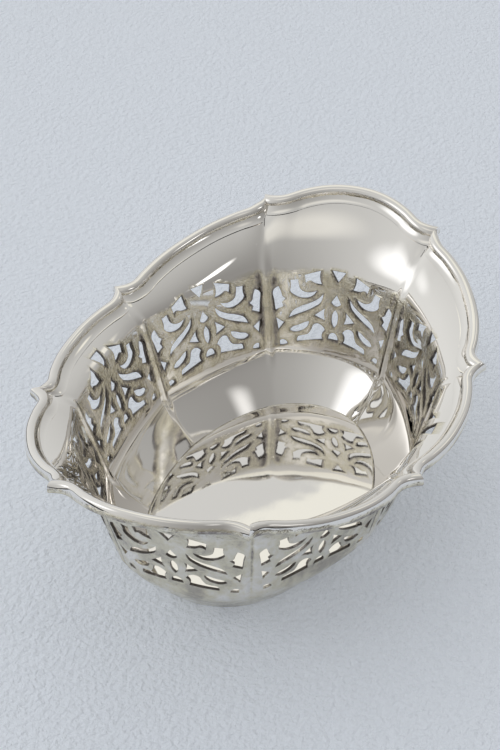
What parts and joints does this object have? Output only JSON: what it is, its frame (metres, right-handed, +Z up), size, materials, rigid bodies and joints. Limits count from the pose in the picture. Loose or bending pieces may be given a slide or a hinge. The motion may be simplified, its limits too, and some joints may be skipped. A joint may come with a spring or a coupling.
{
  "type": "pierced silver dish",
  "caption": "Small oval silver dish with pierced panels, a flared bracket-shaped lip and applied moulded wire, for sweets or nuts.",
  "frame": {"origin": "middle of the flat base, on the surface that the dish stands on", "axes": "+X along the dish through its raised ends, +Y across it, +Z up"},
  "size_m": [0.118, 0.0828, 0.0408],
  "materials": {
    "silver_sheet": "raised sterling silver, hand polished, faint warm tarnish in the piercing",
    "silver_wire": "drawn silver wire with a broad roll and a soft inner band, polished"
  },
  "bodies": {
    "root": {"bowl": "silver_sheet", "rim_wire_right_end": "silver_wire", "rim_wire_back_right": "silver_wire", "rim_wire_back": "silver_wire", "rim_wire_back_left": "silver_wire", "rim_wire_left_end": "silver_wire", "rim_wire_front_left": "silver_wire", "rim_wire_front": "silver_wire", "rim_wire_front_right": "silver_wire"}
  },
  "joints": []
}
